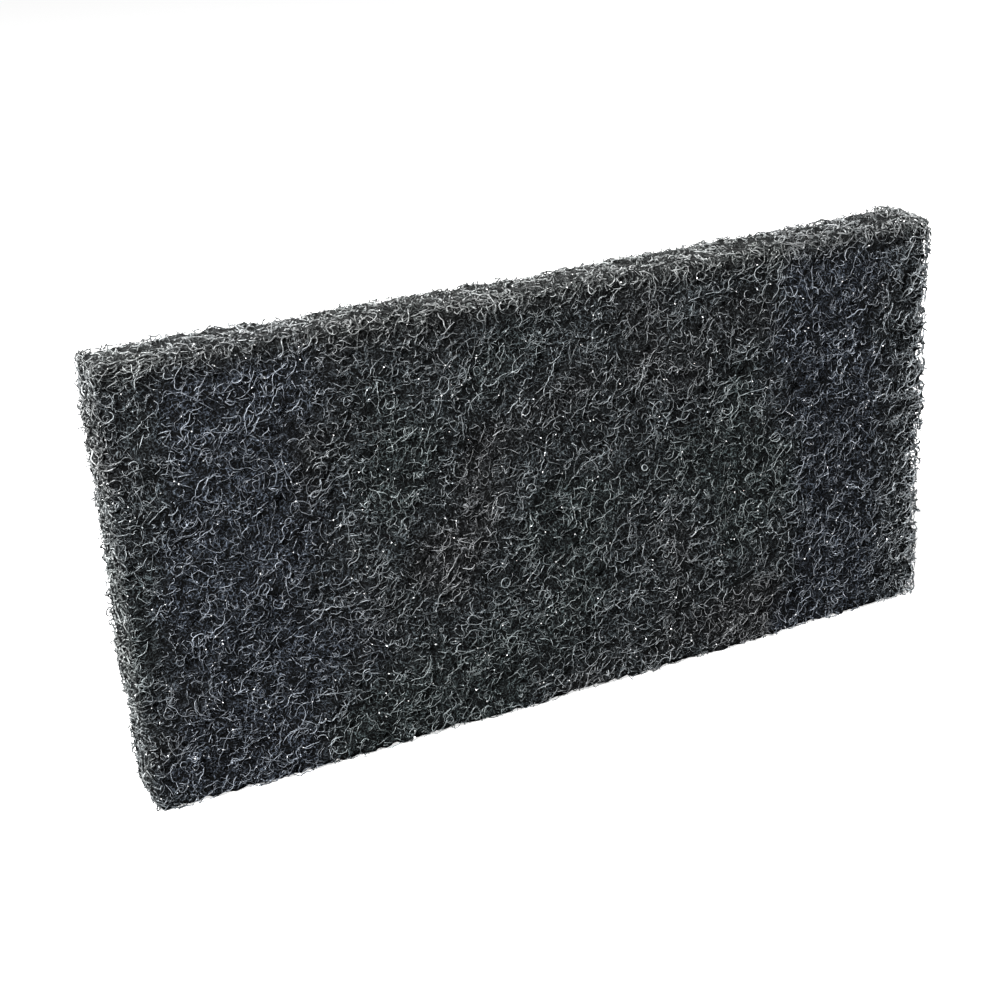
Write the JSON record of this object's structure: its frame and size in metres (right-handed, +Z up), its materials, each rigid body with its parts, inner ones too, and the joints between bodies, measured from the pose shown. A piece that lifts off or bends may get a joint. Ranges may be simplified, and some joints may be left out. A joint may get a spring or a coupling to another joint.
{
  "type": "floor stripping pad",
  "caption": "Rectangular slab of open non-woven abrasive web, soft at its edges, for stripping and scrubbing floors by hand or in a pad holder.",
  "frame": {"origin": "middle of the long narrow edge that the pad stands on, at the surface under it", "axes": "+X along the pad's length, +Y through its thickness from the front face to the back face, +Z up its width"},
  "size_m": [0.2529, 0.0193, 0.1206],
  "materials": {
    "abrasive_web": "matt black resin-bonded fibre with abrasive grains, faintly glossy on single strands"
  },
  "bodies": {
    "root": {"stripping_pad": "abrasive_web"}
  },
  "joints": []
}
